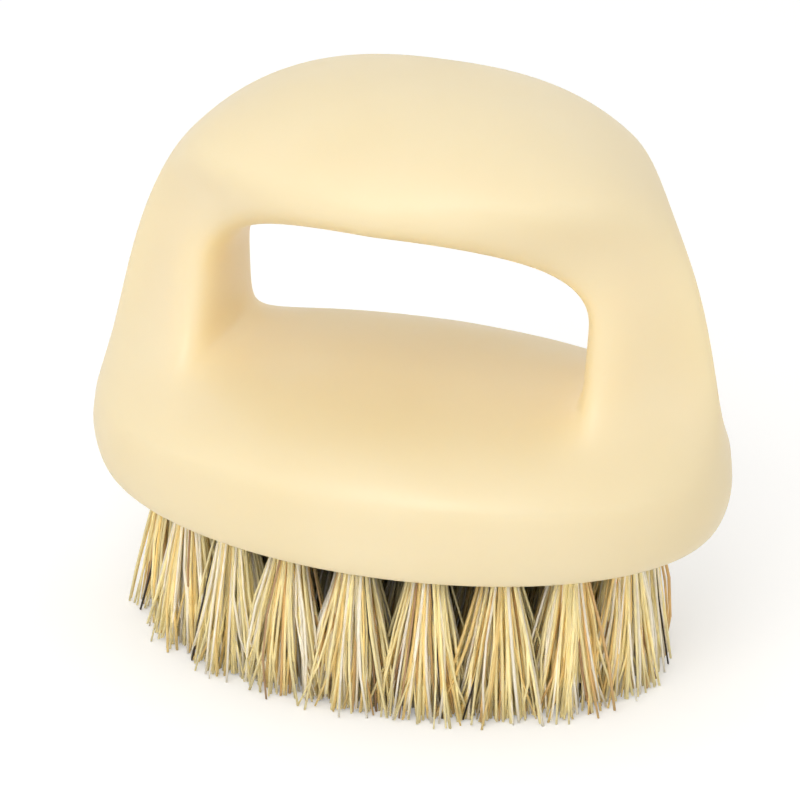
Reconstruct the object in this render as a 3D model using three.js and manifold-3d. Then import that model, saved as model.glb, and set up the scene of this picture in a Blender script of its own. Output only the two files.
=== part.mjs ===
// A ring-handled detailing brush: a moulded handle with a hole for two fingers, and an oval
// insert plate in its underside whose tufts of natural bristle are held by wire anchors.
// Millimetres, +Z up. X runs along the finger hole's width and Y through the hole.
// Z = 0 is the plane of the trimmed bristle tips, under the middle of the handle.
import * as THREE from 'three';
import { mergeVertices } from 'three/addons/utils/BufferGeometryUtils.js';
import Module from 'manifold-3d';

const wasm = await Module();
wasm.setup();

// Handle: its outline leans in from the rim to the crown and closes there in a dome
const HANDLE_LENGTH = 75;
const HANDLE_DEPTH = 49.4;
const HANDLE_HEIGHT = 49.7;
const CROWN_LENGTH = 58.9;
const CROWN_DEPTH = 44.1;
const LEAN_EASE_HEIGHT = 2.7;
const END_DOME_START = 4.71;
const END_DOME_ROUNDNESS = 2.44;
const SIDE_DOME_START = 4.81;
const SIDE_DOME_ROUNDNESS = 2.47;
const RIM_PLAN_SQUARENESS = 1.98;
const CROWN_PLAN_SQUARENESS = 2.53;

// Lower rim: it rolls under to a flat ring around the insert, from higher up at the two ends
const RIM_ROLL_IN = 0.9;
const RIM_ROLL_HEIGHT = 3.9;
const RIM_END_ROLL_IN = 2.5;
const RIM_END_ROLL_HEIGHT = 6.7;
const RIM_SIDE_WIDTH = 2.6;
const RIM_END_WIDTH = 4.4;

// Finger hole: its narrowest outline, and how far the rounded mouth reaches from it
const HOLE_WIDTH = 42.4;
const HOLE_HEIGHT = 18.9;
const HOLE_FLOOR_HEIGHT = 15.6;
const HOLE_ROOF_SQUARENESS = 2.33;
const HOLE_FLOOR_SQUARENESS = 11.6;
const BAR_ROUNDING = 7.3;
const LEG_ROUNDING = 5.6;
const FLOOR_ROUNDING = 8.8;
const MOUTH_ROUNDNESS = 2.45;

// Waist: the share of their depth that the legs lose, from below the hole's floor to above its roof
const LEG_WAIST = 0.85;
const WAIST_BELOW_FLOOR = 7;
const WAIST_ABOVE_ROOF = 8;
const WAIST_SPREAD = 1.5;

// Insert plate and the bristles' facing under it
const PLATE_RECESS = 0.4;
const PLATE_THICKNESS = 3.6;
const PLATE_CHAMFER = 1;
const FACING_THICKNESS = 1;
const CLEARANCE = 0.3;

// Tufts: concentric oval rows of drilled holes, each hole with a wire anchor at its end
const BRISTLE_LENGTH = 18.5;
const TUFT_HOLE_DIAMETER = 4.4;
const TUFT_HOLE_DEPTH = 2.8;
const EDGE_LAND = 0.9;
const INNER_ROW_DEPTH = 8.6;
const ANCHOR_HEIGHT = 1.2;
const ANCHOR_THICKNESS = 0.5;

// Each row's tufts, and the share of a step by which its first tuft stands past the oval's end
const ROWS = [
  { name: 'outer', count: 18, offset: 0.5 },
  { name: 'middle', count: 12, offset: 0.5 },
  { name: 'inner', count: 6, offset: 0 },
];

// Strands: each stands for a pinch of hairs, and tufts spread until their tips are a gap apart
const STRANDS_PER_TUFT = 12;
const STRAND_SIDES = 3;
const STRAND_ROOT_DIAMETER = 0.66;
const STRAND_TIP_DIAMETER = 1.1;
const TIP_GAP = 0.5;
const BLOCK_FLARE = 0.04;
const TRIM_DEPTH = 0.5;

// Facets: spans round the finger hole and over the skin, sides of an oval and of a tuft hole
const FLOOR_SPANS = 24;
const ARCH_SPANS = 50;
const SKIN_SPANS = 12;
const OVAL_SIDES = 64;
const TUFT_HOLE_SIDES = 8;

const HOLE_CENTRE_HEIGHT = HOLE_FLOOR_HEIGHT + HOLE_HEIGHT / 2;
const FACING_TOP = PLATE_RECESS + FACING_THICKNESS;
const PLATE_BOTTOM = FACING_TOP + CLEARANCE;
const PLATE_TOP = PLATE_BOTTOM + PLATE_THICKNESS;
const TUFT_HOLE_END = PLATE_BOTTOM + TUFT_HOLE_DEPTH;

const FINISH = {
  handle: { color: 0xf3e1bb, roughness: 0.32, metalness: 0 },
  plate: { color: 0xe2cf9f, roughness: 0.6, metalness: 0 },
  bristles: { color: 0xcfb98a, roughness: 0.8, metalness: 0 },
  anchor: { color: 0xb99a5b, roughness: 0.35, metalness: 1 },
};

// Solids from three.js geometry and back, for cuts and joins
function toSolid(geometry) {
  const bare = geometry.clone();
  bare.deleteAttribute('normal');
  bare.deleteAttribute('uv');
  const merged = mergeVertices(bare, 1e-4);
  return new wasm.Manifold(new wasm.Mesh({
    numProp: 3,
    vertProperties: Float32Array.from(merged.attributes.position.array),
    triVerts: Uint32Array.from(merged.index.array),
  }));
}

function toGeometry(solid) {
  const mesh = solid.getMesh();
  const geometry = new THREE.BufferGeometry();
  geometry.setAttribute('position', new THREE.BufferAttribute(mesh.vertProperties, 3));
  geometry.setIndex(new THREE.BufferAttribute(mesh.triVerts, 1));
  geometry.computeVertexNormals();
  return geometry;
}

function namedMesh(name, solid, finish) {
  const mesh = new THREE.Mesh(toGeometry(solid), new THREE.MeshStandardMaterial(finish));
  mesh.name = name;
  return mesh;
}

// A closed skin gathered from triangles and quads; a corner that repeats drops its triangle
class Skin {
  corners = [];

  triangle(a, b, c) {
    if (a.equals(b) || b.equals(c) || c.equals(a)) return;
    this.corners.push(a, b, c);
  }

  quad(a, b, c, d) {
    this.triangle(a, b, c);
    this.triangle(a, c, d);
  }

  solid() {
    return toSolid(new THREE.BufferGeometry().setFromPoints(this.corners));
  }
}

// Share of the way along a run of steps that lie closer together towards both ends
function easedShare(step, steps) {
  return (1 - Math.cos((Math.PI * step) / steps)) / 2;
}

// Share of the way from the rim's widest level to the crown
function riseAt(height) {
  return THREE.MathUtils.clamp((height - RIM_ROLL_HEIGHT) / (HANDLE_HEIGHT - RIM_ROLL_HEIGHT), 0, 1);
}

// Share of the lean from rim to crown, which starts upright at the rim and soon runs straight
function leanAt(rise) {
  const ease = LEAN_EASE_HEIGHT / (HANDLE_HEIGHT - RIM_ROLL_HEIGHT);
  return (Math.hypot(rise, ease) - ease) / (Math.hypot(1, ease) - ease);
}

// How far the rim has rolled in at a height, for the reach and height of the whole roll
function rollAt(height, reach, rollHeight) {
  const turn = THREE.MathUtils.clamp(1 - height / rollHeight, 0, 1);
  return reach * (1 - Math.sqrt(1 - turn * turn));
}

// Half length and half depth of the handle's outline at a height above its underside
function handleHalfSizes(height) {
  const rise = riseAt(height);
  const lean = leanAt(rise);
  const half = (foot, crown, start, roundness) =>
    (THREE.MathUtils.lerp(foot, crown, lean) / 2) * (1 - rise ** start) ** (1 / roundness);
  const length = half(HANDLE_LENGTH, CROWN_LENGTH, END_DOME_START, END_DOME_ROUNDNESS);
  const depth = half(HANDLE_DEPTH, CROWN_DEPTH, SIDE_DOME_START, SIDE_DOME_ROUNDNESS);
  return {
    length: length - rollAt(height, RIM_END_ROLL_IN, RIM_END_ROLL_HEIGHT),
    depth: depth - rollAt(height, RIM_ROLL_IN, RIM_ROLL_HEIGHT),
  };
}

// Share of its depth that the handle keeps at a height, and at a share of the way out to its ends
function waistAt(height, share) {
  const foot = HOLE_FLOOR_HEIGHT - WAIST_BELOW_FLOOR;
  const top = HOLE_FLOOR_HEIGHT + HOLE_HEIGHT + WAIST_ABOVE_ROOF;
  const level = THREE.MathUtils.clamp((2 * height - foot - top) / (top - foot), -1, 1);
  return 1 - LEG_WAIST * (1 - level ** 4) ** 2 * share ** WAIST_SPREAD;
}

// A ray of the skin: it starts on the finger hole's outline at an angle round the hole,
// and runs out in the X-Z plane to the handle's own outline or to its underside
function skinRay(angle) {
  const across = Math.cos(angle);
  const up = Math.sin(angle);
  const squareness = up > 0 ? HOLE_ROOF_SQUARENESS : HOLE_FLOOR_SQUARENESS;
  const reach = (Math.abs(across) ** squareness + Math.abs(up) ** squareness) ** (-1 / squareness);
  const legShare = Math.abs(reach * across) ** squareness;
  const rounding = up > 0 ? BAR_ROUNDING : FLOOR_ROUNDING;
  const x = (HOLE_WIDTH / 2) * reach * across;
  const z = HOLE_CENTRE_HEIGHT + (HOLE_HEIGHT / 2) * reach * up;
  const run = new THREE.Vector2(HANDLE_LENGTH * reach * across, HANDLE_HEIGHT * reach * up).normalize();
  const inside = (d) => {
    const height = z + run.y * d;
    const room = height > 0 && height < HANDLE_HEIGHT;
    return room && Math.abs(x + run.x * d) < handleHalfSizes(height).length;
  };
  let near = 0;
  let far = HANDLE_LENGTH + HANDLE_HEIGHT;
  for (let i = 0; i < 50; i++) {
    const middle = (near + far) / 2;
    if (inside(middle)) near = middle;
    else far = middle;
  }
  const mouth = THREE.MathUtils.lerp(rounding, LEG_ROUNDING, legShare);
  const landsOnUnderside = z + run.y * near < 1e-6;
  return { x, z, run, length: near, mouth, landsOnUnderside };
}

// Points along a ray, from the hole's outline to the handle's, on one face of the handle
function skinPoints(ray, face, meetsOutline) {
  const points = [];
  for (let i = 0; i <= SKIN_SPANS; i++) {
    const d = ray.length * easedShare(i, SKIN_SPANS);
    const x = ray.x + ray.run.x * d;
    const z = ray.z + ray.run.y * d;
    const half = handleHalfSizes(z);
    const share = Math.min(Math.abs(x) / half.length, 1);
    const squareness = THREE.MathUtils.lerp(RIM_PLAN_SQUARENESS, CROWN_PLAN_SQUARENESS, riseAt(z));
    const plan = (1 - share ** squareness) ** (1 / squareness) * waistAt(z, share);
    const turn = Math.max(1 - d / ray.mouth, 0);
    const mouth = (1 - turn ** MOUTH_ROUNDNESS) ** (1 / MOUTH_ROUNDNESS);
    const edge = i === 0 || (i === SKIN_SPANS && meetsOutline);
    const onUnderside = i === SKIN_SPANS && ray.landsOnUnderside;
    points.push(new THREE.Vector3(x, edge ? 0 : face * half.depth * plan * mouth, onUnderside ? 0 : z));
  }
  return points;
}

// The angle at which a ray meets the handle's lower corner, where outline and underside join
function cornerAngle() {
  let onFloor = -Math.PI / 2;
  let onSide = 0;
  for (let i = 0; i < 50; i++) {
    const middle = (onFloor + onSide) / 2;
    if (skinRay(middle).landsOnUnderside) onFloor = middle;
    else onSide = middle;
  }
  return onFloor;
}

// The ring handle before its underside is cut
function handleBlank() {
  const corner = cornerAngle();
  const floorSweep = 2 * (corner + Math.PI / 2);
  const archSweep = 2 * Math.PI - floorSweep;
  const rays = [];
  for (let i = 0; i < ARCH_SPANS; i++) {
    const share = (i / ARCH_SPANS + easedShare(i, ARCH_SPANS)) / 2;
    rays.push({ ...skinRay(corner + archSweep * share), meetsOutline: true });
  }
  const leftCorner = -Math.PI - corner;
  for (let i = 0; i < FLOOR_SPANS; i++) {
    const share = easedShare(i, FLOOR_SPANS);
    rays.push({ ...skinRay(leftCorner + floorSweep * share), meetsOutline: i === 0 });
  }
  const front = rays.map((ray) => skinPoints(ray, -1, ray.meetsOutline));
  const back = rays.map((ray) => skinPoints(ray, 1, ray.meetsOutline));
  const skin = new Skin();
  for (let j = 0; j < rays.length; j++) {
    const next = (j + 1) % rays.length;
    for (let i = 0; i < SKIN_SPANS; i++) {
      skin.quad(front[j][i], front[j][i + 1], front[next][i + 1], front[next][i]);
      skin.quad(back[j][i], back[next][i], back[next][i + 1], back[j][i + 1]);
    }
    const last = SKIN_SPANS;
    skin.quad(front[j][last], back[j][last], back[next][last], front[next][last]);
  }
  return skin.solid();
}

// A closed oval block through a list of levels, each { length, depth, z } with half sizes
function ovalBlock(levels) {
  const rings = levels.map(({ length, depth, z }) =>
    Array.from({ length: OVAL_SIDES }, (_, i) => {
      const angle = (2 * Math.PI * i) / OVAL_SIDES;
      return new THREE.Vector3(length * Math.cos(angle), depth * Math.sin(angle), z);
    }));
  const skin = new Skin();
  const top = rings.at(-1);
  const bottom = rings[0];
  for (let i = 0; i < OVAL_SIDES; i++) {
    const next = (i + 1) % OVAL_SIDES;
    for (let level = 0; level < rings.length - 1; level++) {
      skin.quad(rings[level][i], rings[level][next], rings[level + 1][next], rings[level + 1][i]);
    }
    skin.triangle(bottom[0], bottom[next], bottom[i]);
    skin.triangle(top[0], top[i], top[next]);
  }
  return skin.solid();
}

function shrunk({ length, depth }, inset) {
  return { length: length - inset, depth: depth - inset };
}

// The oval that the insert fills, and the block of that outline with a chamfered top edge
const RIM_FOOT = handleHalfSizes(0);
const POCKET = { length: RIM_FOOT.length - RIM_END_WIDTH, depth: RIM_FOOT.depth - RIM_SIDE_WIDTH };

function insertBlock(bottom, top, inset) {
  const outline = shrunk(POCKET, inset);
  return ovalBlock([
    { ...outline, z: bottom },
    { ...outline, z: top - PLATE_CHAMFER },
    { ...shrunk(outline, PLATE_CHAMFER), z: top },
  ]);
}

function uprightCylinder(x, y, diameter, bottom, top) {
  const radius = diameter / 2;
  const geometry = new THREE.CylinderGeometry(radius, radius, top - bottom, TUFT_HOLE_SIDES);
  geometry.rotateX(Math.PI / 2);
  geometry.translate(x, y, (bottom + top) / 2);
  return toSolid(geometry);
}

// Tuft rows at even steps from the plate's edge inwards
const OUTER_ROW = shrunk(POCKET, CLEARANCE + EDGE_LAND + TUFT_HOLE_DIAMETER / 2);
const ROW_PITCH = (OUTER_ROW.depth - INNER_ROW_DEPTH / 2) / (ROWS.length - 1);

function tuftRows() {
  return ROWS.map(({ name, count, offset }, step) => {
    const oval = shrunk(OUTER_ROW, ROW_PITCH * step);
    const curve = new THREE.EllipseCurve(0, 0, oval.length, oval.depth);
    const tufts = Array.from({ length: count }, (_, i) => curve.getPointAt((i + offset) / count));
    return { name, oval, tufts };
  });
}

// How far a tuft's outermost strands stand from its middle at the tips
function tipReach(rows) {
  const tufts = rows.flatMap((row) => row.tufts);
  const gaps = tufts.flatMap((tuft, i) => tufts.slice(i + 1).map((other) => tuft.distanceTo(other)));
  return (Math.min(...gaps) * (1 + BLOCK_FLARE) - TIP_GAP - STRAND_TIP_DIAMETER) / 2;
}

// The slice of backing that carries one row's tufts: an oval ring, or an oval in the middle
function facing(row, isFirst, isLast) {
  const half = ROW_PITCH / 2;
  const outer = isFirst ? shrunk(POCKET, CLEARANCE) : shrunk(row.oval, CLEARANCE / 2 - half);
  const slab = (oval, margin) => ovalBlock([
    { ...oval, z: PLATE_RECESS - margin },
    { ...oval, z: FACING_TOP + margin },
  ]);
  if (isLast) return slab(outer, 0);
  return slab(outer, 0).subtract(slab(shrunk(row.oval, half - CLEARANCE / 2), CLEARANCE));
}

// A strand from the facing to just past the tips' plane
function strand(root, tip) {
  const run = new THREE.Vector3().subVectors(tip, root);
  const [rootRadius, tipRadius] = [STRAND_ROOT_DIAMETER / 2, STRAND_TIP_DIAMETER / 2];
  const geometry = new THREE.CylinderGeometry(tipRadius, rootRadius, run.length(), STRAND_SIDES);
  geometry.translate(0, run.length() / 2, 0);
  const turn = new THREE.Quaternion().setFromUnitVectors(new THREE.Vector3(0, 1, 0), run.normalize());
  geometry.applyQuaternion(turn);
  geometry.translate(root.x, root.y, root.z);
  return toSolid(geometry);
}

// Strands spread evenly over a circle of radius 1, turning by the golden angle from its middle
function strandSpots() {
  const goldenAngle = Math.PI * (3 - Math.sqrt(5));
  return Array.from({ length: STRANDS_PER_TUFT }, (_, i) => {
    const out = Math.sqrt((i + 0.5) / STRANDS_PER_TUFT);
    return new THREE.Vector2(out * Math.cos(i * goldenAngle), out * Math.sin(i * goldenAngle));
  });
}

// One row of tufts on its facing, with the folded root of each tuft in its hole
function bristleRow(row, reachAtTips, isFirst, isLast) {
  const seat = (PLATE_RECESS + FACING_TOP) / 2;
  const reachAtRoots = (TUFT_HOLE_DIAMETER - STRAND_ROOT_DIAMETER) / 2;
  const rootTop = TUFT_HOLE_END - ANCHOR_HEIGHT - 2 * CLEARANCE;
  const spots = strandSpots();
  let solid = facing(row, isFirst, isLast);
  for (const tuft of row.tufts) {
    solid = solid.add(uprightCylinder(tuft.x, tuft.y, TUFT_HOLE_DIAMETER - 2 * CLEARANCE, seat, rootTop));
    for (const spot of spots) {
      const root = new THREE.Vector3(tuft.x + spot.x * reachAtRoots, tuft.y + spot.y * reachAtRoots, seat);
      const tip = new THREE.Vector3(
        tuft.x * (1 + BLOCK_FLARE) + spot.x * reachAtTips,
        tuft.y * (1 + BLOCK_FLARE) + spot.y * reachAtTips,
        -BRISTLE_LENGTH - TRIM_DEPTH,
      );
      solid = solid.add(strand(root, tip));
    }
  }
  const shears = new THREE.BoxGeometry(2 * HANDLE_LENGTH, 2 * HANDLE_DEPTH, 2 * BRISTLE_LENGTH);
  shears.translate(0, 0, -2 * BRISTLE_LENGTH);
  return solid.subtract(toSolid(shears));
}

// The insert plate, drilled from below for every tuft
function insertPlate(rows) {
  let plate = insertBlock(PLATE_BOTTOM, PLATE_TOP, CLEARANCE);
  for (const tuft of rows.flatMap((row) => row.tufts)) {
    const mouth = PLATE_BOTTOM - CLEARANCE;
    plate = plate.subtract(uprightCylinder(tuft.x, tuft.y, TUFT_HOLE_DIAMETER, mouth, TUFT_HOLE_END));
  }
  return plate;
}

// A flat wire anchor across the end of a tuft hole, over the tuft's folded root
function anchor(tuft) {
  const length = TUFT_HOLE_DIAMETER * Math.cos(Math.PI / TUFT_HOLE_SIDES) - 2 * CLEARANCE;
  const geometry = new THREE.BoxGeometry(length, ANCHOR_THICKNESS, ANCHOR_HEIGHT);
  geometry.translate(tuft.x, tuft.y, TUFT_HOLE_END - CLEARANCE - ANCHOR_HEIGHT / 2);
  return toSolid(geometry);
}

const brush = new THREE.Group();
const head = new THREE.Group();
head.position.z = BRISTLE_LENGTH;
brush.add(head);

const rows = tuftRows();
const reachAtTips = tipReach(rows);
const pocket = insertBlock(-RIM_ROLL_HEIGHT, PLATE_TOP + CLEARANCE, 0);
head.add(namedMesh('handle', handleBlank().subtract(pocket), FINISH.handle));
head.add(namedMesh('insert_plate', insertPlate(rows), FINISH.plate));
rows.forEach((row, i) => {
  const bristles = bristleRow(row, reachAtTips, i === 0, i === rows.length - 1);
  head.add(namedMesh(`bristles_${row.name}_row`, bristles, FINISH.bristles));
  row.tufts.forEach((tuft, n) => {
    const number = String(n + 1).padStart(2, '0');
    head.add(namedMesh(`anchor_${row.name}_${number}`, anchor(tuft), FINISH.anchor));
  });
});

export default brush;
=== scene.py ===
"""Looks of a ring-handled detailing brush: a moulded handle, a drilled insert plate and its bristle tufts.

Sizes are in millimetres, as in the part's source, and meshes are scaled to metres when a piece is finished.
"""
import logging
import math
from dataclasses import dataclass
from enum import Enum
from typing import Any

import bmesh
import bpy
import numpy as np
from mathutils import Matrix, Vector


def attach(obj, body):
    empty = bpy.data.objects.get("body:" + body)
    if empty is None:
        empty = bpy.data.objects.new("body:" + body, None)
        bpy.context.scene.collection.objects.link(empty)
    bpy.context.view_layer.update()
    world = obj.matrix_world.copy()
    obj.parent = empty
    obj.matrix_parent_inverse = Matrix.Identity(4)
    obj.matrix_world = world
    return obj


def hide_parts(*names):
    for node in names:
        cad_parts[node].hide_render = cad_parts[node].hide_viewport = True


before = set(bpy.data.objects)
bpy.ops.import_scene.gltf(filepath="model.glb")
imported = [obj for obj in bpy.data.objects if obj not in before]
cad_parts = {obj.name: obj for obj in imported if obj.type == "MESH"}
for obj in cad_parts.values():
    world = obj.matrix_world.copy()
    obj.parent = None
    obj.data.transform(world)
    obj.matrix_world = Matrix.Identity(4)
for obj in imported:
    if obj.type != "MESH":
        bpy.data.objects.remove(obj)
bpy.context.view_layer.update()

LOG = logging.getLogger("detailing_brush")

MM = 0.001
WELD = 1e-3
BODY = "root"
PHOTO_PIXELS = 800
SENSOR_WIDTH = 36.0
BRISTLE_LENGTH = 18.5
CLEARANCE = 0.3
GOLDEN_ANGLE = math.pi * (3 - math.sqrt(5))
HALVINGS = 50
OVAL_STEPS = 2000
LEVEL = 1e-6
WHITE = (1.0, 1.0, 1.0, 1.0)


class Slot(Enum):
    """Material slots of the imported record."""

    HANDLE = "handle_plastic"
    PLATE = "plate_plastic"
    BRISTLE = "natural_bristle"
    ANCHOR = "anchor_wire"


class Row(Enum):
    """Tuft rows, from the plate's edge inwards."""

    OUTER = "outer"
    MIDDLE = "middle"
    INNER = "inner"


def linear(hex_colour: str) -> tuple[float, float, float, float]:
    """Turn an sRGB hex colour into linear light.

    Args:
        hex_colour: Six hex digits, with or without a leading hash.

    Returns:
        Linear red, green, blue and an alpha of 1.
    """
    digits = hex_colour.lstrip("#")
    channels = [int(digits[i:i + 2], 16) / 255 for i in (0, 2, 4)]
    light = [c / 12.92 if c <= 0.04045 else ((c + 0.055) / 1.055) ** 2.4 for c in channels]
    return (*light, 1.0)


def per_metre(size_mm: float) -> float:
    """Texture scale at which one feature of a pattern is this many millimetres wide."""
    return 1 / (size_mm * MM)


def add_node(tree: bpy.types.NodeTree, kind: str, settings: dict[str, Any] | None = None,
             inputs: dict[Any, Any] | None = None) -> bpy.types.Node:
    """Add a node with its settings and links.

    Args:
        tree: The node tree that takes the node.
        kind: Blender's name for the type of node.
        settings: Properties of the node, by name. Stops of a ramp are given as "stops".
        inputs: Values for sockets, or the outputs that feed them, by socket name or number.

    Returns:
        The new node.
    """
    node = tree.nodes.new(kind)
    for name, value in (settings or {}).items():
        if name == "stops":
            ramp = node.color_ramp
            while len(ramp.elements) < len(value):
                ramp.elements.new(1.0)
            for element, (position, colour) in zip(ramp.elements, value):
                element.position = position
                element.color = colour
        else:
            setattr(node, name, value)
    for key, value in (inputs or {}).items():
        if isinstance(value, bpy.types.NodeSocket):
            tree.links.new(value, node.inputs[key])
        else:
            node.inputs[key].default_value = value
    return node


def new_material(name: str) -> tuple[bpy.types.Material, bpy.types.NodeTree]:
    """Start a node material with an empty tree.

    Args:
        name: The material's name.

    Returns:
        The material and its node tree.
    """
    material = bpy.data.materials.new(name)
    material.use_nodes = True
    material.node_tree.nodes.clear()
    return material, material.node_tree


def close_material(tree: bpy.types.NodeTree, shader: bpy.types.Node) -> None:
    """Link a shader to the material's output."""
    add_node(tree, "ShaderNodeOutputMaterial", inputs={"Surface": shader.outputs[0]})


@dataclass(frozen=True)
class MouldedAbs:
    """Cream ABS, injection moulded in a lightly textured mould: satin, with a waxy, warm depth."""

    colour: str = "#F3E2BA"
    flow_colour: str = "#F0DDB0"
    flow_mark_mm: float = 26.0
    satin_patch_mm: float = 7.0
    orange_peel_mm: float = 0.9
    peel_depth_mm: float = 0.012
    peel_strength: float = 0.35
    roughness: tuple[float, float] = (0.36, 0.46)
    ior: float = 1.53
    depth_share: float = 0.9
    depth_mm: float = 9.0
    depth_of_colours: tuple[float, float, float] = (1.0, 0.72, 0.36)

    def material(self) -> bpy.types.Material:
        """Make the material, with slow flow marks, satin patches and a fine orange peel."""
        material, tree = new_material("satin_cream_abs")
        place = add_node(tree, "ShaderNodeTexCoord").outputs["Object"]
        flow = add_node(tree, "ShaderNodeTexNoise", inputs={
            "Vector": place, "Scale": per_metre(self.flow_mark_mm), "Detail": 2.0})
        colour = add_node(tree, "ShaderNodeValToRGB", {
            "stops": [(0.3, linear(self.flow_colour)), (0.7, linear(self.colour))],
        }, {"Fac": flow.outputs["Fac"]})
        patches = add_node(tree, "ShaderNodeTexNoise", inputs={
            "Vector": place, "Scale": per_metre(self.satin_patch_mm), "Detail": 4.0})
        roughness = add_node(tree, "ShaderNodeMapRange", inputs={
            "Value": patches.outputs["Fac"], "From Min": 0.3, "From Max": 0.7,
            "To Min": self.roughness[0], "To Max": self.roughness[1]})
        peel = add_node(tree, "ShaderNodeTexNoise", inputs={
            "Vector": place, "Scale": per_metre(self.orange_peel_mm), "Detail": 1.0})
        bump = add_node(tree, "ShaderNodeBump", inputs={
            "Height": peel.outputs["Fac"], "Strength": self.peel_strength,
            "Distance": self.peel_depth_mm * MM})
        shader = add_node(tree, "ShaderNodeBsdfPrincipled", {"subsurface_method": "BURLEY"}, {
            "Base Color": colour.outputs["Color"], "Roughness": roughness.outputs["Result"],
            "Normal": bump.outputs["Normal"], "IOR": self.ior,
            "Subsurface Weight": self.depth_share, "Subsurface Radius": self.depth_of_colours,
            "Subsurface Scale": self.depth_mm * MM})
        close_material(tree, shader)
        return material


@dataclass(frozen=True)
class DrilledPlastic:
    """Polypropylene plate, moulded flat and drilled: matt, with fine milling marks in one direction."""

    colour: str = "#DCC795"
    marked_colour: str = "#CDB683"
    mark_mm: float = 0.8
    mark_length_mm: float = 18.0
    mark_depth_mm: float = 0.02
    mark_strength: float = 0.5
    roughness: tuple[float, float] = (0.52, 0.68)
    ior: float = 1.49

    def material(self) -> bpy.types.Material:
        """Make the material, with marks stretched along the plate."""
        material, tree = new_material("matt_drilled_polypropylene")
        place = add_node(tree, "ShaderNodeTexCoord").outputs["Object"]
        stretch = add_node(tree, "ShaderNodeMapping", inputs={
            "Vector": place, "Scale": (self.mark_mm / self.mark_length_mm, 1.0, 1.0)})
        marks = add_node(tree, "ShaderNodeTexNoise", inputs={
            "Vector": stretch.outputs["Vector"], "Scale": per_metre(self.mark_mm), "Detail": 3.0})
        colour = add_node(tree, "ShaderNodeValToRGB", {
            "stops": [(0.35, linear(self.marked_colour)), (0.65, linear(self.colour))],
        }, {"Fac": marks.outputs["Fac"]})
        roughness = add_node(tree, "ShaderNodeMapRange", inputs={
            "Value": marks.outputs["Fac"], "To Min": self.roughness[1], "To Max": self.roughness[0]})
        bump = add_node(tree, "ShaderNodeBump", inputs={
            "Height": marks.outputs["Fac"], "Strength": self.mark_strength,
            "Distance": self.mark_depth_mm * MM})
        shader = add_node(tree, "ShaderNodeBsdfPrincipled", inputs={
            "Base Color": colour.outputs["Color"], "Roughness": roughness.outputs["Result"],
            "Normal": bump.outputs["Normal"], "IOR": self.ior})
        close_material(tree, shader)
        return material


@dataclass(frozen=True)
class DrawnBrass:
    """Flat brass wire, drawn and cut: bright along its length, with fine draw lines and dull patches."""

    colour: str = "#C9A45C"
    dull_colour: str = "#9C7B45"
    tarnish_mm: float = 1.2
    line_mm: float = 0.12
    line_length_mm: float = 2.4
    roughness: tuple[float, float] = (0.28, 0.46)

    def material(self) -> bpy.types.Material:
        """Make the material, with tarnish in patches and lines along the wire."""
        material, tree = new_material("drawn_brass_wire")
        place = add_node(tree, "ShaderNodeTexCoord").outputs["Object"]
        tarnish = add_node(tree, "ShaderNodeTexNoise", inputs={
            "Vector": place, "Scale": per_metre(self.tarnish_mm), "Detail": 3.0})
        colour = add_node(tree, "ShaderNodeValToRGB", {
            "stops": [(0.35, linear(self.dull_colour)), (0.6, linear(self.colour))],
        }, {"Fac": tarnish.outputs["Fac"]})
        along = add_node(tree, "ShaderNodeMapping", inputs={
            "Vector": place, "Scale": (self.line_mm / self.line_length_mm, 1.0, 1.0)})
        lines = add_node(tree, "ShaderNodeTexNoise", inputs={
            "Vector": along.outputs["Vector"], "Scale": per_metre(self.line_mm), "Detail": 1.0})
        roughness = add_node(tree, "ShaderNodeMapRange", inputs={
            "Value": lines.outputs["Fac"], "To Min": self.roughness[0], "To Max": self.roughness[1]})
        shader = add_node(tree, "ShaderNodeBsdfPrincipled", inputs={
            "Base Color": colour.outputs["Color"], "Roughness": roughness.outputs["Result"],
            "Metallic": 1.0})
        close_material(tree, shader)
        return material


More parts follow.
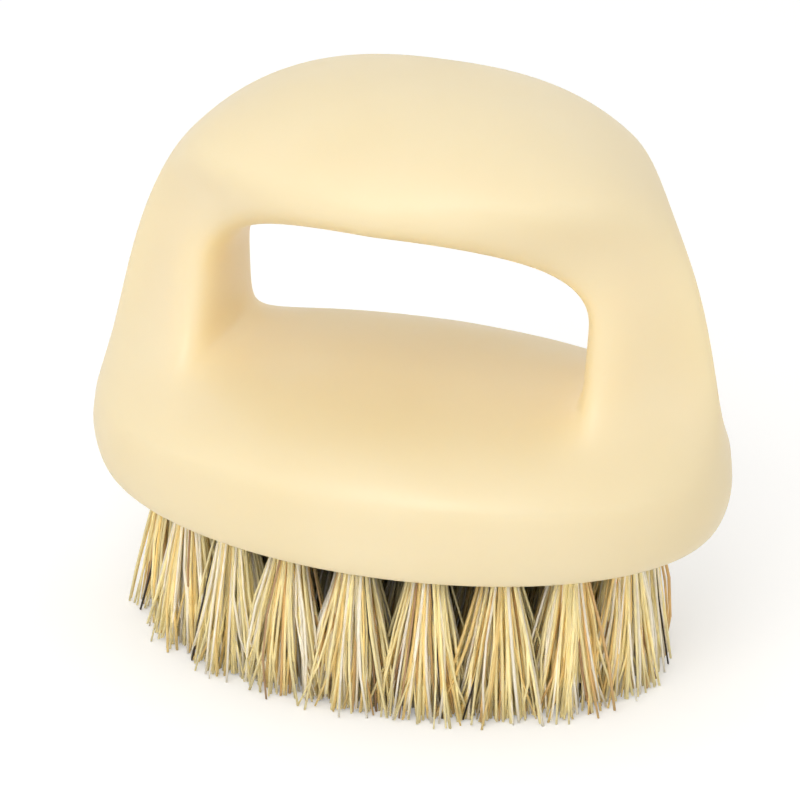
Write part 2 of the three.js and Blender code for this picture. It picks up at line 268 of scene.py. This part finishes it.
@dataclass(frozen=True)
class NaturalBristle:
    """Mixed natural bristle: hairs of many tints, streaked along, with painted shade at the roots among the
    tufts.
    """

    tints: tuple[tuple[str, float], ...] = (
        ("#FFF0B8", 0.48),
        ("#FFF8E6", 0.28),
        ("#F8DA92", 0.11),
        ("#DDB67A", 0.05),
        ("#B08C66", 0.03),
        ("#D8CCA8", 0.03),
        ("#2B211A", 0.01),
    )
    # Painted shade: the dark colour laid on the hair roots among the tufts, where the shade between tufts
    # falls
    painted_root_shade: str = "#2E2014"
    painted_shade_span: tuple[float, float] = (0.15, 0.68)
    streak_mm: float = 0.35
    streak_length_mm: float = 4.0
    streak_levels: tuple[float, float] = (0.82, 1.08)
    tint_levels: tuple[float, float] = (0.84, 1.04)
    roughness: tuple[float, float] = (0.4, 0.6)
    ior: float = 1.55
    depth_share: float = 0.6
    depth_mm: float = 1.0
    depth_of_colours: tuple[float, float, float] = (1.0, 0.9, 0.65)

    def draw_tints(self, random: np.random.Generator, count: int) -> np.ndarray:
        """Pick a tint for each hair, each a little lighter or darker than its kind.

        Args:
            random: Source of seeded random numbers.
            count: Number of hairs.

        Returns:
            Linear colours with alpha, one row for each hair.
        """
        palette = np.array([linear(tint) for tint, _ in self.tints])
        weights = np.array([weight for _, weight in self.tints])
        kinds = random.choice(len(palette), size=count, p=weights / weights.sum())
        colours = palette[kinds]
        colours[:, :3] *= random.uniform(*self.tint_levels, (count, 1))
        return colours

    def material(self) -> bpy.types.Material:
        """Make the material from the hairs' own tints, with painted shade multiplied in at the roots among
        the tufts.
        """
        material, tree = new_material("natural_bristle_hair")
        tint = add_node(tree, "ShaderNodeAttribute", {"attribute_name": BristleRow.TINT})
        openness = add_node(tree, "ShaderNodeAttribute", {"attribute_name": BristleRow.OPENNESS})
        # Painted shade: roots among the tufts darken to the painted root colour, fading to the full tint
        # further along
        shade = add_node(tree, "ShaderNodeValToRGB", {
            "stops": [
                (self.painted_shade_span[0], linear(self.painted_root_shade)),
                (self.painted_shade_span[1], WHITE),
            ],
        }, {"Fac": openness.outputs["Fac"]})
        place = add_node(tree, "ShaderNodeTexCoord").outputs["Object"]
        stretch = add_node(tree, "ShaderNodeMapping", inputs={
            "Vector": place, "Scale": (1.0, 1.0, self.streak_mm / self.streak_length_mm)})
        streaks = add_node(tree, "ShaderNodeTexNoise", inputs={
            "Vector": stretch.outputs["Vector"], "Scale": per_metre(self.streak_mm), "Detail": 2.0})
        streak = add_node(tree, "ShaderNodeMapRange", inputs={
            "Value": streaks.outputs["Fac"], "From Min": 0.25, "From Max": 0.75,
            "To Min": self.streak_levels[0], "To Max": self.streak_levels[1]})
        # The painted shade multiplies each hair's own tint
        root_shaded = add_node(tree, "ShaderNodeMix", {"data_type": "RGBA", "blend_type": "MULTIPLY"}, {
            "Factor": 1.0, "A": tint.outputs["Color"], "B": shade.outputs["Color"]})
        root_shaded_colour = next(o for o in root_shaded.outputs if o.type == "RGBA")
        streaked = add_node(tree, "ShaderNodeVectorMath", {"operation": "SCALE"}, {
            0: root_shaded_colour, "Scale": streak.outputs["Result"]})
        roughness = add_node(tree, "ShaderNodeMapRange", inputs={
            "Value": streaks.outputs["Fac"], "To Min": self.roughness[0], "To Max": self.roughness[1]})
        shader = add_node(tree, "ShaderNodeBsdfPrincipled", {"subsurface_method": "BURLEY"}, {
            "Base Color": streaked.outputs["Vector"], "Roughness": roughness.outputs["Result"],
            "IOR": self.ior, "Subsurface Weight": self.depth_share,
            "Subsurface Radius": self.depth_of_colours, "Subsurface Scale": self.depth_mm * MM})
        close_material(tree, shader)
        return material


@dataclass(frozen=True)
class StudioPaper:
    """White paper sweep: it shows white to the camera and keeps a soft, faint shadow of the brush."""

    colour: str = "#F4F3F1"
    white_lift: float = 0.26

    def material(self) -> bpy.types.Material:
        """Make the paper, lifted to white for the camera and for reflections."""
        material, tree = new_material("white_paper_sweep")
        paper = add_node(tree, "ShaderNodeBsdfDiffuse", inputs={"Color": linear(self.colour)})
        lift = add_node(tree, "ShaderNodeMath", {"operation": "MULTIPLY"}, {
            0: seen_directly(tree), 1: self.white_lift})
        white = add_node(tree, "ShaderNodeEmission", inputs={
            "Color": WHITE, "Strength": lift.outputs[0]})
        lifted = add_node(tree, "ShaderNodeAddShader", inputs={0: paper.outputs[0], 1: white.outputs[0]})
        close_material(tree, lifted)
        return material


def seen_directly(tree: bpy.types.NodeTree) -> bpy.types.NodeSocket:
    """Add the test for a ray from the camera, or by way of a reflection or of glass.

    Args:
        tree: The node tree that takes the nodes.

    Returns:
        An output that is 1 for such a ray and 0 for light.
    """
    path = add_node(tree, "ShaderNodeLightPath")
    mirrored = add_node(tree, "ShaderNodeMath", {"operation": "MAXIMUM"}, {
        0: path.outputs["Is Camera Ray"], 1: path.outputs["Is Glossy Ray"]})
    through = add_node(tree, "ShaderNodeMath", {"operation": "MAXIMUM"}, {
        0: mirrored.outputs[0], 1: path.outputs["Is Transmission Ray"]})
    return through.outputs[0]


def make_piece(mesh: bpy.types.Mesh, name: str, material: bpy.types.Material, slot: Slot,
               *nodes: str) -> bpy.types.Object:
    """Put a finished mesh in the scene as a piece of the brush.

    Args:
        mesh: The mesh, in metres and in place.
        name: The piece's name.
        material: Its finish.
        slot: The record's slot of that finish. Not used.
        nodes: CAD nodes that the piece stands for.

    Returns:
        The piece.
    """
    mesh.materials.append(material)
    piece = bpy.data.objects.new(name, mesh)
    bpy.context.scene.collection.objects.link(piece)
    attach(piece, BODY)
    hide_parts(*nodes)
    LOG.info("%s: %d faces", name, len(mesh.polygons))
    return piece


def to_mesh(bm: bmesh.types.BMesh, name: str, sharp_degrees: float = 38.0) -> bpy.types.Mesh:
    """Turn millimetres into metres and shade smoothly between the sharp edges.

    Args:
        bm: The shape, in millimetres, which is freed.
        name: The mesh's name.
        sharp_degrees: Edges that turn by more than this stay sharp.

    Returns:
        The mesh.
    """
    bmesh.ops.recalc_face_normals(bm, faces=bm.faces)
    for face in bm.faces:
        face.smooth = True
    for edge in bm.edges:
        edge.smooth = edge.calc_face_angle(0.0) < math.radians(sharp_degrees)
    bmesh.ops.scale(bm, vec=(MM, MM, MM), verts=bm.verts)
    mesh = bpy.data.meshes.new(name)
    bm.to_mesh(mesh)
    bm.free()
    return mesh


def mix(start: float, end: float, share: float) -> float:
    """Value at a share of the way from start to end."""
    return start + (end - start) * share


def eased(share: float) -> float:
    """Share of a run whose steps lie closer together towards both ends."""
    return (1 - math.cos(math.pi * share)) / 2


@dataclass
class SkinRay:
    """A line of the handle's skin, from the finger hole's outline to the dome or the underside."""

    x: float
    z: float
    run_x: float
    run_z: float
    length: float
    mouth: float
    on_underside: bool
    on_outline: bool = True


@dataclass
class RingHandle:
    """The moulded handle: a domed ring on a thick oval base, with a pocket for the insert plate."""

    length: float = 75.0
    depth: float = 49.4
    height: float = 49.7
    crown_length: float = 58.9
    crown_depth: float = 44.1
    lean_ease: float = 2.7
    end_dome_start: float = 4.71
    end_dome_roundness: float = 2.44
    side_dome_start: float = 4.81
    side_dome_roundness: float = 2.47
    rim_squareness: float = 1.98
    crown_squareness: float = 2.53
    roll_in: float = 0.9
    roll_height: float = 3.9
    end_roll_in: float = 2.5
    end_roll_height: float = 6.7
    rim_side_width: float = 2.6
    rim_end_width: float = 4.4
    hole_width: float = 42.4
    hole_height: float = 18.9
    hole_floor: float = 15.6
    roof_squareness: float = 2.33
    floor_squareness: float = 11.6
    bar_rounding: float = 7.3
    leg_rounding: float = 5.6
    floor_rounding: float = 8.8
    leg_waist: float = 0.85
    waist_below_floor: float = 7.0
    waist_above_roof: float = 8.0
    waist_spread: float = 1.5
    mouth_roundness: float = 2.45
    pocket_wall: float = 4.6
    pocket_chamfer: float = 1.0
    mouth_bevel: float = 0.25
    arch_spans: int = 240
    floor_spans: int = 72
    skin_spans: int = 48

    def rise(self, height: float) -> float:
        """Share of the way from the rim's widest level to the crown."""
        return min(max((height - self.roll_height) / (self.height - self.roll_height), 0.0), 1.0)

    @staticmethod
    def rolled(height: float, reach: float, roll_height: float) -> float:
        """How far the rim has rolled in at a height.

        Args:
            height: Height above the underside, in millimetres.
            reach: How far the whole roll turns in.
            roll_height: Height of the whole roll.

        Returns:
            The inset there, in millimetres.
        """
        turn = min(max(1 - height / roll_height, 0.0), 1.0)
        return reach * (1 - math.sqrt(1 - turn * turn))

    def half_sizes(self, height: float) -> tuple[float, float]:
        """Half length and half depth of the outline at a height above the underside.

        Args:
            height: Height in millimetres.

        Returns:
            Half the length and half the depth there.
        """
        rise = self.rise(height)
        ease = self.lean_ease / (self.height - self.roll_height)
        lean = (math.hypot(rise, ease) - ease) / (math.hypot(1, ease) - ease)
        end = (1 - rise ** self.end_dome_start) ** (1 / self.end_dome_roundness)
        side = (1 - rise ** self.side_dome_start) ** (1 / self.side_dome_roundness)
        return (mix(self.length, self.crown_length, lean) / 2 * end
                - self.rolled(height, self.end_roll_in, self.end_roll_height),
                mix(self.depth, self.crown_depth, lean) / 2 * side
                - self.rolled(height, self.roll_in, self.roll_height))

    def waist(self, height: float, share: float) -> float:
        """Share of its depth that the handle keeps where the legs narrow.

        Args:
            height: Height above the underside, in millimetres.
            share: Share of the way from the middle out to the ends.

        Returns:
            The share, 1 where there is no waist.
        """
        foot = self.hole_floor - self.waist_below_floor
        top = self.hole_floor + self.hole_height + self.waist_above_roof
        level = min(max((2 * height - foot - top) / (top - foot), -1.0), 1.0)
        return 1 - self.leg_waist * (1 - level ** 4) ** 2 * share ** self.waist_spread

    def ray(self, angle: float) -> SkinRay:
        """The line of skin that starts at an angle round the finger hole.

        Args:
            angle: Angle from +X in the X-Z plane, as if the hole were a circle.

        Returns:
            The ray, which runs until it meets the dome's outline or the underside.
        """
        across, up = math.cos(angle), math.sin(angle)
        squareness = self.roof_squareness if up > 0 else self.floor_squareness
        reach = (abs(across) ** squareness + abs(up) ** squareness) ** (-1 / squareness)
        leg_share = abs(reach * across) ** squareness
        x = self.hole_width / 2 * reach * across
        z = self.hole_floor + self.hole_height / 2 * (1 + reach * up)
        run = Vector((self.length * reach * across, self.height * reach * up)).normalized()
        near, far = 0.0, self.length + self.height
        for _ in range(HALVINGS):
            middle = (near + far) / 2
            height = z + run.y * middle
            room = 0 < height < self.height
            if room and abs(x + run.x * middle) < self.half_sizes(height)[0]:
                near = middle
            else:
                far = middle
        rounding = self.bar_rounding if up > 0 else self.floor_rounding
        mouth = mix(rounding, self.leg_rounding, leg_share)
        return SkinRay(x, z, run.x, run.y, near, mouth, z + run.y * near < LEVEL)

    def corner_angle(self) -> float:
        """Angle at which a ray meets the lower corner, where outline and underside join."""
        on_floor, on_side = -math.pi / 2, 0.0
        for _ in range(HALVINGS):
            middle = (on_floor + on_side) / 2
            if self.ray(middle).on_underside:
                on_floor = middle
            else:
                on_side = middle
        return on_floor

    def rays(self) -> list[SkinRay]:
        """Rays all round the hole: up over the arch from corner to corner, then along the floor."""
        corner = self.corner_angle()
        floor_sweep = 2 * (corner + math.pi / 2)
        arch_sweep = 2 * math.pi - floor_sweep
        steps = [i / self.arch_spans for i in range(self.arch_spans)]
        rays = [self.ray(corner + arch_sweep * (step + eased(step)) / 2) for step in steps]
        for i in range(self.floor_spans):
            ray = self.ray(-math.pi - corner + floor_sweep * eased(i / self.floor_spans))
            ray.on_outline = i == 0
            rays.append(ray)
        return rays

    def skin_point(self, ray: SkinRay, share: float) -> Vector:
        """Point of the front face on a ray.

        Args:
            ray: The line of skin.
            share: Share of the way from the hole to the outline, before easing.

        Returns:
            The point in millimetres above the underside.
        """
        run = ray.length * eased(share)
        x, z = ray.x + ray.run_x * run, ray.z + ray.run_z * run
        half_length, half_depth = self.half_sizes(z)
        squareness = mix(self.rim_squareness, self.crown_squareness, self.rise(z))
        out = min(abs(x) / half_length, 1.0)
        plan = (1 - out ** squareness) ** (1 / squareness) * self.waist(z, out)
        turn = max(1 - run / ray.mouth, 0.0)
        mouth = (1 - turn ** self.mouth_roundness) ** (1 / self.mouth_roundness)
        at_hole, at_end = share < WELD, share > 1 - WELD
        on_seam = at_hole or (at_end and ray.on_outline)
        on_underside = at_end and ray.on_underside
        return Vector((x, 0.0 if on_seam else -half_depth * plan * mouth, 0.0 if on_underside else z))

    def build(self) -> bpy.types.Mesh:
        """Model the handle: a grid laid over the front face, mirrored, closed below and pocketed.

        Returns:
            The mesh, in metres and in place.
        """
        rays = self.rays()
        bm = bmesh.new()
        bmesh.ops.create_grid(bm, x_segments=len(rays), y_segments=self.skin_spans, size=0.5)
        for vert in bm.verts:
            ray = rays[round((vert.co.x + 0.5) * len(rays)) % len(rays)]
            vert.co = self.skin_point(ray, vert.co.y + 0.5)
        bmesh.ops.remove_doubles(bm, verts=bm.verts, dist=WELD)
        bmesh.ops.mirror(bm, geom=bm.verts[:] + bm.edges[:] + bm.faces[:], axis="Y", merge_dist=WELD)
        open_edges = [edge for edge in bm.edges if edge.is_boundary]
        floor = bmesh.ops.holes_fill(bm, edges=open_edges, sides=0)["faces"][0]
        bmesh.ops.recalc_face_normals(bm, faces=bm.faces)
        self.cut_pocket(bm, floor)
        bmesh.ops.translate(bm, vec=(0, 0, BRISTLE_LENGTH), verts=bm.verts)
        return to_mesh(bm, "ring_handle")

    def pocket(self) -> tuple[float, float]:
        """Half length and half depth of the pocket, inside the rim's flat ring."""
        foot_length, foot_depth = self.half_sizes(0)
        return foot_length - self.rim_end_width, foot_depth - self.rim_side_width

    def cut_pocket(self, bm: bmesh.types.BMesh, floor: bmesh.types.BMFace) -> None:
        """Sink the oval pocket into the underside.

        Args:
            bm: The handle.
            floor: Its underside, one flat face.
        """
        half_length, half_depth = self.pocket()
        bmesh.ops.inset_region(bm, faces=[floor], thickness=self.rim_side_width, use_even_offset=True)
        for vert in floor.verts:
            angle = math.atan2(vert.co.y / half_depth, vert.co.x / half_length)
            vert.co = (half_length * math.cos(angle), half_depth * math.sin(angle), 0)
        mouth = list(floor.edges)
        bmesh.ops.inset_region(bm, faces=[floor], thickness=0, depth=-self.pocket_wall)
        bmesh.ops.inset_region(bm, faces=[floor], thickness=self.pocket_chamfer, depth=-self.pocket_chamfer)
        bmesh.ops.bevel(bm, geom=mouth, offset=self.mouth_bevel, segments=2, profile=0.5,
                        affect="EDGES", material=-1)

    def dress(self, finish: MouldedAbs) -> bpy.types.Object:
        """Build the handle and give it its finish."""
        return make_piece(self.build(), "ring_handle", finish.material(), Slot.HANDLE, "handle")


@dataclass
class TuftOval:
    """One oval of tufts on the plate."""

    row: Row
    half_length: float
    half_depth: float
    count: int
    offset: float

    def tufts(self) -> np.ndarray:
        """Tuft middles at even steps round the oval.

        Returns:
            X and Y in millimetres, one row for each tuft.
        """
        angles = np.linspace(0, 2 * math.pi, OVAL_STEPS + 1)
        points = np.stack([self.half_length * np.cos(angles), self.half_depth * np.sin(angles)], axis=1)
        steps = np.hypot(*np.diff(points, axis=0).T)
        run = np.concatenate([[0.0], np.cumsum(steps)])
        wanted = (np.arange(self.count) + self.offset) / self.count * run[-1]
        return np.stack([np.interp(wanted, run, points[:, i]) for i in range(2)], axis=1)


@dataclass
class InsertPlate:
    """The oval plate in the underside, drilled from below for every tuft."""

    half_length: float
    half_depth: float
    bottom: float = 0.4
    wall: float = 3.9
    chamfer: float = 1.0
    edge_bevel: float = 0.3
    hole_diameter: float = 4.4
    hole_end: float = 4.5
    drill_overrun: float = 1.0
    edge_land: float = 0.9
    inner_row_depth: float = 8.6
    rows: tuple[tuple[Row, int, float], ...] = (
        (Row.OUTER, 18, 0.5),
        (Row.MIDDLE, 12, 0.5),
        (Row.INNER, 6, 0.0),
    )
    plate_sides: int = 128
    hole_sides: int = 20

    def ovals(self) -> list[TuftOval]:
        """The rows of tufts, at even steps from the plate's edge inwards."""
        land = self.edge_land + self.hole_diameter / 2
        pitch = (self.half_depth - land - self.inner_row_depth / 2) / (len(self.rows) - 1)
        return [
            TuftOval(row, self.half_length - land - pitch * step, self.half_depth - land - pitch * step,
                     count, offset)
            for step, (row, count, offset) in enumerate(self.rows)
        ]

    def blank(self) -> bpy.types.Mesh:
        """Model the plate before it is drilled.

        Returns:
            The mesh, in metres and in place.
        """
        bm = bmesh.new()
        bmesh.ops.create_circle(bm, cap_ends=True, segments=self.plate_sides, radius=1.0)
        bmesh.ops.scale(bm, vec=(self.half_length, self.half_depth, 1), verts=bm.verts)
        lower_edges = bm.edges[:]
        raised = bmesh.ops.extrude_face_region(bm, geom=bm.faces[:], use_keep_orig=True)["geom"]
        top = next(item for item in raised if isinstance(item, bmesh.types.BMFace))
        bmesh.ops.translate(bm, vec=(0, 0, self.wall), verts=top.verts)
        bmesh.ops.recalc_face_normals(bm, faces=bm.faces)
        bmesh.ops.inset_region(bm, faces=[top], thickness=self.chamfer, depth=self.chamfer)
        bmesh.ops.bevel(bm, geom=lower_edges, offset=self.edge_bevel, segments=2, profile=0.5,
                        affect="EDGES", material=-1)
        bmesh.ops.translate(bm, vec=(0, 0, BRISTLE_LENGTH + self.bottom), verts=bm.verts)
        return to_mesh(bm, "insert_plate_drilled")

    def drills(self) -> bpy.types.Mesh:
        """Model the tuft holes as round plugs to cut with.

        Returns:
            The mesh, in metres and in place.
        """
        bm = bmesh.new()
        depth = self.hole_end - self.bottom + self.drill_overrun
        middle = BRISTLE_LENGTH + self.hole_end - depth / 2
        for oval in self.ovals():
            for x, y in oval.tufts():
                bmesh.ops.create_cone(bm, cap_ends=True, segments=self.hole_sides, depth=depth,
                                      radius1=self.hole_diameter / 2, radius2=self.hole_diameter / 2,
                                      matrix=Matrix.Translation((x, y, middle)))
        return to_mesh(bm, "tuft_drills")

    def dress(self, finish: DrilledPlastic) -> bpy.types.Object:
        """Build the plate, drill it and give it its finish.

        Args:
            finish: The plate's plastic.

        Returns:
            The piece.
        """
        plate = make_piece(self.blank(), "insert_plate_drilled", finish.material(), Slot.PLATE,
                           "insert_plate")
        drills = bpy.data.objects.new("tuft_drills", self.drills())
        bpy.context.scene.collection.objects.link(drills)
        cut = plate.modifiers.new("tuft_holes", "BOOLEAN")
        cut.operation = "DIFFERENCE"
        cut.solver = "EXACT"
        cut.object = drills
        drilled = bpy.data.meshes.new_from_object(plate.evaluated_get(bpy.context.evaluated_depsgraph_get()))
        plate.modifiers.clear()
        plate.data = drilled
        bpy.data.objects.remove(drills)
        return plate


@dataclass
class BristleRow:
    """A row of bristle tufts, each a fan of hairs that leaves its hole and is trimmed level below."""

    oval: TuftOval
    head: tuple[float, float]
    finish: NaturalBristle
    seed: int
    hairs_per_tuft: int = 240
    root_height: float = 1.2
    root_reach: float = 1.6
    root_scatter: float = 0.05
    fan_along_row: float = 5.6
    fan_outwards: float = 4.0
    fan_delay: float = 1.3
    hair_diameters: tuple[float, float] = (0.28, 0.44)
    tip_share: float = 0.8
    tip_scatter: float = 0.8
    bend: float = 0.55
    trim_scatter: float = 0.3
    short_share: float = 0.04
    short_by: float = 4.0
    # Painted shade: hairs whose roots lie inside this share of the head are dark at the roots; towards the
    # edge they are lifted to full tint
    dark_within: float = 0.79
    open_beyond: float = 0.93
    outside_lift: float = 0.5
    hair_sides: int = 4
    hair_spans: int = 4

    TINT = "hair_tint"
    OPENNESS = "open_to_light"

    def template(self) -> tuple[np.ndarray, np.ndarray]:
        """Model one straight hair of radius 1 that runs from 0 to 1 along Z.

        Returns:
            Its points, and the corners of its four-sided faces.
        """
        bm = bmesh.new()
        bmesh.ops.create_cone(bm, cap_ends=True, segments=self.hair_sides, radius1=1.0, radius2=1.0,
                              depth=1.0, matrix=Matrix.Translation((0, 0, 0.5)))
        for span in range(1, self.hair_spans):
            bmesh.ops.bisect_plane(bm, geom=bm.verts[:] + bm.edges[:] + bm.faces[:],
                                   plane_co=(0, 0, span / self.hair_spans), plane_no=(0, 0, 1))
        bmesh.ops.recalc_face_normals(bm, faces=bm.faces)
        bm.verts.index_update()
        points = np.array([vert.co for vert in bm.verts])
        faces = np.array([[vert.index for vert in face.verts] for face in bm.faces])
        bm.free()
        return points, faces

    def hair_ends(self, random: np.random.Generator) -> tuple[np.ndarray, np.ndarray]:
        """Root and tip of every hair of the row.

        Args:
            random: Source of seeded random numbers.

        Returns:
            Roots and tips in millimetres above the underside, one row for each hair.
        """
        count = self.hairs_per_tuft
        tufts = np.repeat(self.oval.tufts(), count, axis=0)
        outwards = tufts / np.array([self.oval.half_length, self.oval.half_depth]) ** 2
        outwards /= np.linalg.norm(outwards, axis=1, keepdims=True)
        along_row = np.stack([-outwards[:, 1], outwards[:, 0]], axis=1)
        number = np.tile(np.arange(count), self.oval.count)
        turn = number * GOLDEN_ANGLE + np.repeat(random.uniform(0, 2 * math.pi, self.oval.count), count)
        out = np.sqrt((number + 0.5) / count)
        spot = np.stack([out * np.cos(turn), out * np.sin(turn)], axis=1)
        spot += random.normal(0, self.root_scatter, spot.shape)
        row_side, out_side = along_row * spot[:, :1], outwards * spot[:, 1:]
        roots = tufts + (row_side + out_side) * self.root_reach
        tips = tufts + row_side * self.fan_along_row + out_side * self.fan_outwards
        tips += random.normal(0, self.tip_scatter, tips.shape)
        short = np.abs(random.normal(0, self.trim_scatter, len(tips)))
        short += (random.random(len(tips)) < self.short_share) * random.uniform(0, self.short_by, len(tips))
        root_level = np.full((len(roots), 1), self.root_height)
        return np.hstack([roots, root_level]), np.hstack([tips, short[:, None] - BRISTLE_LENGTH])

    def openness(self, roots: np.ndarray, along: np.ndarray) -> np.ndarray:
        """How open the hairs are to the light, for the painted shade: from the dark roots among the tufts
        out to the tips.

        Args:
            roots: Root of every hair.
            along: Share of the way along a hair, for each point of one.

        Returns:
            Shares from 0, dark, to 1, open, one row for each hair.
        """
        edge = np.linalg.norm(roots[:, :2] / np.array(self.head), axis=1)
        outside = np.clip((edge - self.dark_within) / (self.open_beyond - self.dark_within), 0, 1)
        return np.clip(along + self.outside_lift * outside[:, None], 0, 1)

    def build(self) -> bpy.types.Mesh:
        """Model the row's hairs: the straight hair copied, spread, bent and tapered.

        Returns:
            The mesh, in metres and in place, with each hair's tint and its openness to light for the painted
            shade as attributes.
        """
        random = np.random.default_rng(self.seed)
        points, faces = self.template()
        roots, tips = self.hair_ends(random)
        count = len(roots)
        along = points[:, 2][None, :, None]
        radii = random.uniform(*self.hair_diameters, (count, 1, 1)) / 2
        taper = 1 - (1 - self.tip_share) * along ** 2
        spin = random.uniform(0, 2 * math.pi, count)
        turn = np.stack([np.cos(spin), -np.sin(spin), np.sin(spin), np.cos(spin)], 1).reshape(count, 2, 2)
        ring = np.einsum("hij,pj->hpi", turn, points[:, :2]) * radii * taper
        bow = random.normal(0, self.bend, (count, 1, 2)) * np.sin(math.pi * along ** self.fan_delay)
        spread = along ** np.array([self.fan_delay, self.fan_delay, 1])
        line = roots[:, None] + (tips - roots)[:, None] * spread
        line[:, :, :2] += ring + bow
        line[:, :, 2] += BRISTLE_LENGTH
        corners = faces[None] + (np.arange(count) * len(points))[:, None, None]
        mesh = bpy.data.meshes.new(f"bristle_tufts_{self.oval.row.value}")
        corners = corners.reshape(-1, faces.shape[1])
        mesh.from_pydata((line * MM).reshape(-1, 3).tolist(), [], corners.tolist())
        mesh.polygons.foreach_set("use_smooth", np.ones(len(mesh.polygons), bool))
        tints = np.repeat(self.finish.draw_tints(random, count), len(points), axis=0)
        mesh.attributes.new(self.TINT, "FLOAT_COLOR", "POINT").data.foreach_set("color", tints.ravel())
        # Painted shade mask, carried to the hair material as an attribute
        openness = self.openness(roots, points[:, 2])
        mesh.attributes.new(self.OPENNESS, "FLOAT", "POINT").data.foreach_set("value", openness.ravel())
        mesh.update()
        return mesh

    def dress(self, material: bpy.types.Material) -> bpy.types.Object:
        """Build the row and give it its finish."""
        name = self.oval.row.value
        return make_piece(self.build(), f"bristle_tufts_{name}", material, Slot.BRISTLE,
                          f"bristles_{name}_row")


@dataclass
class WireAnchors:
    """The flat wire anchors at the ends of the tuft holes, which keep their CAD shape."""

    prefix: str = "anchor_"

    def dress(self, finish: DrawnBrass) -> None:
        """Give every anchor its finish."""
        material = finish.material()
        for name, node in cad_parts.items():
            if name.startswith(self.prefix):
                node.material_slots[0].material = material
                LOG.info("%s: brass", name)


@dataclass
class Lamp:
    """A square soft lamp, aimed at the brush. Places and sizes are in millimetres, power in watts."""

    name: str
    place: tuple[float, float, float]
    size: float
    power: float
    colour: str = "#FFFFFF"

    def light(self, target: Vector) -> None:
        """Put the lamp in the scene.

        Args:
            target: The point it is aimed at, in metres.
        """
        data = bpy.data.lights.new(self.name, "AREA")
        data.size = self.size * MM
        data.energy = self.power
        data.color = linear(self.colour)[:3]
        lamp = bpy.data.objects.new(self.name, data)
        bpy.context.scene.collection.objects.link(lamp)
        lamp.location = Vector(self.place) * MM
        lamp.rotation_euler = (target - lamp.location).to_track_quat("-Z", "Y").to_euler()


@dataclass
class Studio:
    """White paper, soft lamps and the camera at the photograph's viewing angle."""

    world_level: float = 0.76
    floor_half_size: float = 1500.0
    target: tuple[float, float, float] = (-1.22, 0.0, 29.09)
    azimuth: float = 17.16
    elevation: float = 23.83
    roll: float = 2.07
    distance: float = 426.7
    pixels_per_mm: float = 8.81
    lamps: tuple[Lamp, ...] = (
        Lamp("front_softbox", (-30, -430, 390), 350, 1.05),
    )

    def set_floor(self) -> None:
        """Lay the paper under the bristle tips."""
        bm = bmesh.new()
        bmesh.ops.create_grid(bm, x_segments=1, y_segments=1, size=self.floor_half_size)
        mesh = to_mesh(bm, "paper_sweep")
        mesh.materials.append(StudioPaper().material())
        floor = bpy.data.objects.new("paper_sweep", mesh)
        bpy.context.scene.collection.objects.link(floor)

    def set_world(self) -> None:
        """Fill the room with even light, white where it is seen directly."""
        world = bpy.data.worlds.new("studio")
        world.use_nodes = True
        tree = world.node_tree
        tree.nodes.clear()
        seen = add_node(tree, "ShaderNodeBackground", inputs={"Color": WHITE, "Strength": 1.0})
        light = add_node(tree, "ShaderNodeBackground", inputs={
            "Color": WHITE, "Strength": self.world_level})
        mixed = add_node(tree, "ShaderNodeMixShader", inputs={
            0: seen_directly(tree), 1: light.outputs[0], 2: seen.outputs[0]})
        add_node(tree, "ShaderNodeOutputWorld", inputs={"Surface": mixed.outputs[0]})
        bpy.context.scene.world = world

    def set_camera(self) -> None:
        """Place the camera as the photograph was taken, with its slight roll."""
        turn, lift, roll = (math.radians(a) for a in (self.azimuth, self.elevation, self.roll))
        back = Vector((math.sin(turn) * math.cos(lift), -math.cos(turn) * math.cos(lift), math.sin(lift)))
        level_right = Vector((math.cos(turn), math.sin(turn), 0))
        level_up = back.cross(level_right)
        right = level_right * math.cos(roll) + level_up * math.sin(roll)
        up = level_up * math.cos(roll) - level_right * math.sin(roll)
        place = (Vector(self.target) + back * self.distance) * MM
        data = bpy.data.cameras.new("photo_camera")
        data.sensor_width = SENSOR_WIDTH
        data.lens = self.pixels_per_mm * self.distance * SENSOR_WIDTH / PHOTO_PIXELS
        camera = bpy.data.objects.new("photo_camera", data)
        bpy.context.scene.collection.objects.link(camera)
        camera.matrix_world = Matrix((right, up, back)).transposed().to_4x4()
        camera.location = place
        bpy.context.scene.camera = camera

    def build(self) -> None:
        """Set the whole studio."""
        self.set_floor()
        self.set_world()
        for lamp in self.lamps:
            lamp.light(Vector(self.target) * MM)
        self.set_camera()
        bpy.context.scene.view_settings.view_transform = "Standard"


def main() -> None:
    """Build and dress the brush and set the studio."""
    logging.basicConfig(level=logging.INFO)
    handle = RingHandle()
    handle.dress(MouldedAbs())
    plate = InsertPlate(*(half_size - CLEARANCE for half_size in handle.pocket()))
    plate.dress(DrilledPlastic())
    hair = NaturalBristle()
    hair_material = hair.material()
    head = (plate.half_length, plate.half_depth)
    for seed, oval in enumerate(plate.ovals()):
        BristleRow(oval, head, hair, seed).dress(hair_material)
    WireAnchors().dress(DrawnBrass())
    Studio().build()


if __name__ == "__main__":
    main()
